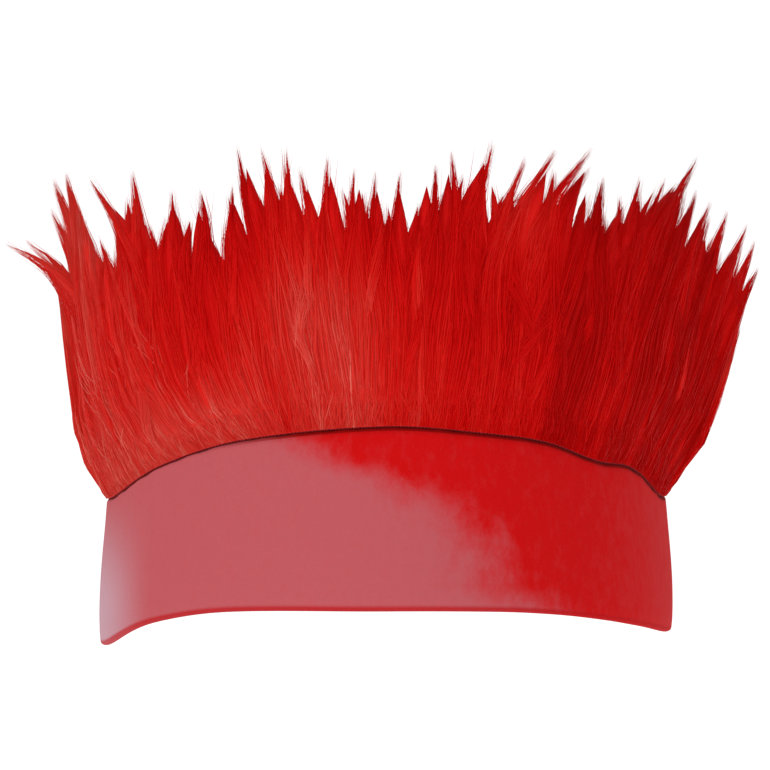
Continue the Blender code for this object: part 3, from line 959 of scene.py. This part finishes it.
class Sheet:
    """A short way to add and wire nodes in one node tree."""

    def __init__(self, tree):
        self.tree = tree

    def add(self, kind, **settings):
        """A new node, with its settings."""
        node = self.tree.nodes.new(kind)
        for key, value in settings.items():
            setattr(node, key, value)
        return node

    def wire(self, source, target):
        self.tree.links.new(source, target)

    def math(self, operation, first, second=None, third=None):
        """A sum of numbers or of other nodes' results."""
        node = self.add("ShaderNodeMath", operation=operation)
        for socket, value in zip(node.inputs, (first, second, third)):
            if value is None:
                continue
            if isinstance(value, (int, float)):
                socket.default_value = value
            else:
                self.wire(value, socket)
        return node.outputs[0]

    def noise(self, place, scale, detail=2.0, roughness=0.5, stretch=(1, 1, 1)):
        """Cloudy noise at a place, drawn out where the stretch is under 1."""
        mapping = self.add("ShaderNodeMapping")
        set_sockets(mapping, Scale=stretch)
        self.wire(place, mapping.inputs["Vector"])
        node = self.add("ShaderNodeTexNoise")
        set_sockets(node, Scale=scale, Detail=detail, Roughness=roughness)
        self.wire(mapping.outputs[0], node.inputs["Vector"])
        return node.outputs["Fac"]

    def swing(self, value, amount, middle=0.5):
        """How far a value is from its middle, times an amount."""
        return self.math("MULTIPLY", self.math("SUBTRACT", value, middle), amount)

    def ramp(self, value, low, high):
        """A smooth step from 0 at one value to 1 at another."""
        node = self.add("ShaderNodeMapRange", interpolation_type="SMOOTHSTEP")
        set_sockets(node, From_Min=low, From_Max=high)
        self.wire(value, node.inputs["Value"])
        return node.outputs["Result"]

    def curve(self, value, rows):
        """Straight lines through the rows of a table, each a value and the result for it."""
        result = None
        for (low, first), (high, second) in zip(rows, rows[1:]):
            node = self.add("ShaderNodeMapRange")
            base = 0 if result is None else first
            set_sockets(
                node, From_Min=low, From_Max=high, To_Min=first - base, To_Max=second - base
            )
            self.wire(value, node.inputs["Value"])
            part = node.outputs["Result"]
            result = part if result is None else self.math("ADD", result, part)
        return result

    def place(self):
        """Where a point of the piece is, in metres."""
        return self.add("ShaderNodeTexCoord").outputs["Object"]

    def grained(self, nap, place, grain):
        """The short nap's mottle and height at a place."""
        node = self.add("ShaderNodeGroup", node_tree=nap)
        self.wire(place, node.inputs["Place"])
        set_sockets(node, Grain=grain)
        return node

    def blend(self, share, first, second):
        """One colour turning into another with a share from 0 to 1."""
        node = self.add("ShaderNodeMix", data_type="RGBA")
        colours = [socket for socket in node.inputs if socket.type == "RGBA"]
        for socket, value in zip(colours, (first, second)):
            if isinstance(value, tuple):
                socket.default_value = (*value, 1)
            else:
                self.wire(value, socket)
        factors = [socket for socket in node.inputs if socket.type == "VALUE"]
        self.wire(share, factors[0])
        return [socket for socket in node.outputs if socket.type == "RGBA"][0]

    def bump(self, height, shader, strength, distance):
        """Raises a shader's surface by a height."""
        node = self.add("ShaderNodeBump")
        set_sockets(node, Strength=strength, Distance=distance)
        self.wire(height, node.inputs["Height"])
        self.wire(node.outputs["Normal"], shader.inputs["Normal"])


def new_group(name, inputs, outputs):
    """An empty node group with named inputs and outputs."""
    group = bpy.data.node_groups.new(name, "ShaderNodeTree")
    for title, kind in inputs:
        group.interface.new_socket(title, in_out="INPUT", socket_type=kind)
    for title, kind in outputs:
        group.interface.new_socket(title, in_out="OUTPUT", socket_type=kind)
    return group


def fine_pile_group():
    """The short nap of velour and brushed knit: a mottle, and a height for the bump."""
    group = new_group(
        "fine_nap",
        [("Place", "NodeSocketVector"), ("Grain", "NodeSocketFloat")],
        [("Mottle", "NodeSocketFloat"), ("Height", "NodeSocketFloat")],
    )
    sheet = Sheet(group)
    start = sheet.add("NodeGroupInput")
    end = sheet.add("NodeGroupOutput")
    scaled = sheet.add("ShaderNodeVectorMath", operation="SCALE")
    sheet.wire(start.outputs["Place"], scaled.inputs[0])
    sheet.wire(start.outputs["Grain"], scaled.inputs["Scale"])
    fine = sheet.noise(scaled.outputs[0], 1.0, 3.0, 0.7)
    broad = sheet.noise(scaled.outputs[0], 0.12, 3.0, 0.6)
    broad_share = sheet.math("MULTIPLY", broad, 0.45)
    mottle = sheet.math("ADD", sheet.math("MULTIPLY", fine, 0.55), broad_share)
    sheet.wire(mottle, end.inputs["Mottle"])
    sheet.wire(fine, end.inputs["Height"])
    return group


def new_material(name, **values):
    """A material with its shader's sockets set, a way to add to its nodes, and the shader."""
    material = bpy.data.materials.new(name)
    material.use_nodes = True
    shader = material.node_tree.nodes["Principled BSDF"]
    set_sockets(shader, **values)
    return material, Sheet(material.node_tree), shader


# The cloths' colours, in linear light: the two pinks are painted sheen, and the fold, seam and knit
# groove reds are painted shade
SHEEN_PINK_RED = (0.415, 0.081, 0.094)
DEEP_RED = (0.480, 0.0028, 0.0036)
RIM_SHEEN_PINK = (0.46, 0.29, 0.34)
FOLD_SHADE_RED = (0.38, 0.004, 0.006)
SEAM_SHADE_RED = (0.20, 0.001, 0.001)
KNIT_GROOVE_SHADE_RED = (0.130, 0.004, 0.006)
KNIT_LOOP_RED = (0.360, 0.022, 0.028)
NAP_SHEEN = (1.0, 0.3, 0.3, 1)

# Where the middle of the fold lies on the velour's map, and the scales of the knit's two waves
FOLD_MIDDLE = 0.0490
RIBS = 260
COURSES = 340

# Where the velour's painted sheen ends: the height, and how far to the right, in metres
SHEEN_EDGE = (
    (-0.0090, 0.0440),
    (-0.0050, 0.0360),
    (-0.0010, 0.0272),
    (0.0113, 0.0235),
    (0.0168, 0.0180),
    (0.0222, 0.0100),
    (0.0276, 0.0000),
    (0.0320, -0.0140),
    (0.0385, -0.0270),
)


def velour_material(nap):
    """Red stretch velour: pale and pink with painted sheen on the left, and deep red to the right.
    """
    material, sheet, shader = new_material(
        "red_velour",
        Roughness=0.85,
        Specular_IOR_Level=0.04,
        Sheen_Weight=0.07,
        Sheen_Roughness=0.5,
        Sheen_Tint=NAP_SHEEN,
    )
    place = sheet.place()
    split = sheet.add("ShaderNodeSeparateXYZ")
    sheet.wire(place, split.inputs[0])
    east, _, up = split.outputs
    cloth = sheet.add("ShaderNodeUVMap", uv_map="cloth")
    across = sheet.add("ShaderNodeSeparateXYZ")
    sheet.wire(cloth.outputs[0], across.inputs[0])

    grain = sheet.grained(nap, place, 1800)

    # The painted sheen ends on a slanting, blotchy line right of the middle
    edge = sheet.math("SUBTRACT", east, sheet.curve(up, SHEEN_EDGE))
    blotch = sheet.noise(place, 120.0, 4.0, 0.66, (1, 1, 0.7))
    edge = sheet.math("ADD", edge, sheet.swing(blotch, 0.034))
    deep = sheet.ramp(edge, -0.015, 0.017)
    # Painted sheen: a little pinker again towards the right end
    right_rim_sheen = sheet.math("MULTIPLY", sheet.ramp(east, 0.052, 0.084), 0.12)
    deep = sheet.math("SUBTRACT", deep, right_rim_sheen)
    streaky = sheet.noise(place, 420.0, 3.0, 0.7, (1, 1, 0.45))
    mottle = sheet.math("ADD", grain.outputs["Mottle"], streaky)
    deep = sheet.math("ADD", deep, sheet.swing(mottle, 0.30, 1.0))
    deep = sheet.math("MINIMUM", sheet.math("MAXIMUM", deep, 0.0), 1.0)
    colour = sheet.blend(deep, SHEEN_PINK_RED, DEEP_RED)

    # Painted sheen: paler towards the left end, as a rim light
    rim_sheen = sheet.math("MULTIPLY", sheet.ramp(east, -0.066, -0.085), sheet.ramp(up, 0.024, -0.012))
    colour = sheet.blend(sheet.math("MULTIPLY", rim_sheen, 0.95), colour, RIM_SHEEN_PINK)

    # Painted shade: darker red along the fold and along the edge at the seam, except towards the
    # left
    fold_way = sheet.math("ABSOLUTE", sheet.math("SUBTRACT", across.outputs["Y"], FOLD_MIDDLE))
    fold = sheet.ramp(fold_way, 0.0079, 0.0070)
    colour = sheet.blend(sheet.math("MULTIPLY", fold, 0.80), colour, FOLD_SHADE_RED)
    from_left = sheet.ramp(east, -0.058, -0.020)
    seam_shade = sheet.math("MULTIPLY", sheet.ramp(fold_way, 0.0395, 0.0425), from_left)
    colour = sheet.blend(seam_shade, colour, SEAM_SHADE_RED)
    sheet.wire(colour, shader.inputs["Base Color"])
    sheet.bump(grain.outputs["Height"], shader, 0.35, 0.0004)
    return material


def knit_material(nap):
    """Fine knit: small loops in ribs, matte and deep red, with painted shade in the grooves between
    them.
    """
    material, sheet, shader = new_material(
        "red_knit",
        Roughness=0.92,
        Specular_IOR_Level=0.05,
        Sheen_Weight=0.05,
        Sheen_Roughness=0.5,
        Sheen_Tint=NAP_SHEEN,
    )
    cloth = sheet.add("ShaderNodeUVMap", uv_map="cloth")
    waves = []
    for direction, scale, distortion in (("X", RIBS, 0.4), ("Y", COURSES, 0.6)):
        wave = sheet.add("ShaderNodeTexWave", bands_direction=direction, wave_profile="SIN")
        set_sockets(wave, Scale=scale, Distortion=distortion)
        sheet.wire(cloth.outputs[0], wave.inputs["Vector"])
        waves.append(wave.outputs["Fac"])
    ribs, courses = waves
    loops = sheet.math("MULTIPLY", ribs, sheet.math("ADD", courses, 0.35))
    grain = sheet.grained(nap, sheet.place(), 1200)
    fuzz = sheet.math("MULTIPLY", grain.outputs["Mottle"], 0.4)
    shade = sheet.math("ADD", sheet.math("MULTIPLY", loops, 0.6), fuzz)
    # Painted shade: darker red in the grooves between the loops
    colour = sheet.blend(sheet.ramp(shade, 0.1, 0.9), KNIT_GROOVE_SHADE_RED, KNIT_LOOP_RED)
    sheet.wire(colour, shader.inputs["Base Color"])
    sheet.bump(loops, shader, 0.6, 0.0005)
    return material


# The pile's colours from its deepest tone, for painted shade, to its palest, for painted highlight:
# the tone, and the colour in linear light
HAIR_TONES = (
    (0.00, (0.236, 0.0008, 0.0008)),
    (0.30, (0.345, 0.0014, 0.0013)),
    (0.55, (0.385, 0.0056, 0.0040)),
    (0.80, (0.395, 0.0230, 0.0165)),
    (1.00, (0.450, 0.0850, 0.0640)),
)
# Painted glow: emission that stands in for light reaching a strand through the others and lightens
# the shade between them, as a share of its own colour
PAINTED_GLOW = 0.60


def hair_colours(sheet, tone, shader):
    """Gives a shader the pile's colour for a tone, and a painted glow that stands in for the light
    that passes through.
    """
    node = sheet.add("ShaderNodeValToRGB")
    stops = node.color_ramp.elements
    while len(stops) < len(HAIR_TONES):
        stops.new(0.5)
    for stop, (place, colour) in zip(stops, HAIR_TONES):
        stop.position = place
        stop.color = (*colour, 1)
    sheet.wire(tone, node.inputs["Fac"])
    sheet.wire(node.outputs["Color"], shader.inputs["Base Color"])
    sheet.wire(node.outputs["Color"], shader.inputs["Emission Color"])
    set_sockets(shader, Emission_Strength=PAINTED_GLOW)


def hair_material():
    """Long red false hair: the tone of each strand changes along it."""
    material, sheet, shader = new_material("red_hair", Roughness=0.5, Specular_IOR_Level=0.03)
    tone = sheet.add("ShaderNodeAttribute", attribute_name="strand_tone")
    kinks = sheet.noise(sheet.place(), 420.0, 2.0, 0.6, (1, 1, 0.35))
    hair_colours(sheet, sheet.math("ADD", tone.outputs["Fac"], sheet.swing(kinks, 0.22)), shader)
    return material


def core_material():
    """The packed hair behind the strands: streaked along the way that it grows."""
    material, sheet, shader = new_material("packed_hair", Roughness=0.6, Specular_IOR_Level=0.05)
    grown = sheet.add("ShaderNodeAttribute", attribute_name="grow_place")
    streaks = sheet.noise(grown.outputs["Vector"], 1700.0, 3.0, 0.65, (1, 1, 0.05))
    tone = sheet.add("ShaderNodeAttribute", attribute_name="strand_tone")
    hair_colours(sheet, sheet.math("ADD", tone.outputs["Fac"], sheet.swing(streaks, 0.55)), shader)
    sheet.bump(streaks, shader, 0.8, 0.0006)
    return material


def build_studio():
    """A plain pale floor, an even white surround and two soft lights."""
    bpy.ops.object.select_all(action="DESELECT")
    bpy.ops.mesh.primitive_plane_add(size=60, location=(0, 0, -0.16))
    floor = bpy.context.object
    floor.name = "studio_floor"
    material, _, _ = new_material(
        "pale_floor",
        Roughness=0.9,
        Base_Color=(0.90, 0.90, 0.90, 1),
        Emission_Color=(1, 1, 1, 1),
        Emission_Strength=0.60,
    )
    floor.data.materials.append(material)

    world = bpy.data.worlds.new("studio_white")
    bpy.context.scene.world = world
    world.use_nodes = True
    sheet = Sheet(world.node_tree)
    background = world.node_tree.nodes["Background"]
    set_sockets(background, Color=(1, 1, 1, 1))
    light_path = sheet.add("ShaderNodeLightPath")
    strength = sheet.math("MULTIPLY_ADD", light_path.outputs["Is Camera Ray"], 0.5, 0.55)
    sheet.wire(strength, background.inputs["Strength"])

    add_light("key_light", (-0.9, -1.1, 1.1), 0.9, 14, (1.0, 0.97, 0.95))
    add_light("fill_light", (1.3, -1.2, 0.5), 1.2, 5, (1.0, 0.98, 0.98))
    bpy.context.scene.view_settings.view_transform = "Standard"


def add_light(name, place, size, power, colour):
    """A square soft light that faces the object."""
    light = bpy.data.lights.new(name, "AREA")
    light.size = size
    light.energy = power
    light.color = colour
    lamp = bpy.data.objects.new(name, light)
    lamp.location = place
    towards = -lamp.location.copy()
    towards.z += 0.05
    lamp.rotation_euler = towards.to_track_quat("-Z", "Y").to_euler()
    bpy.context.collection.objects.link(lamp)


def build_camera():
    """The photo's view: level, from the front, and from far enough off to look flat."""
    camera = bpy.data.cameras.new("front_camera")
    camera.lens = 171.8
    camera.sensor_width = 36
    camera.clip_start = 0.05
    camera.clip_end = 100
    viewer = bpy.data.objects.new("front_camera", camera)
    viewer.location = (-0.0006, -1.1, 0.0535)
    viewer.rotation_euler = (math.radians(90), 0, 0)
    bpy.context.collection.objects.link(viewer)
    bpy.context.scene.camera = viewer


def main():
    """The view, the studio, and each piece in its finish."""
    build_camera()
    build_studio()
    nap = fine_pile_group()
    build_band().data.materials.append(velour_material(nap))
    build_backing().data.materials.append(knit_material(nap))
    packed_hair = core_material()
    build_pile_core().data.materials.append(packed_hair)
    build_lock_hearts().data.materials.append(packed_hair)
    hair = hair_material()
    for piece in build_pile():
        piece.data.materials.append(hair)


main()
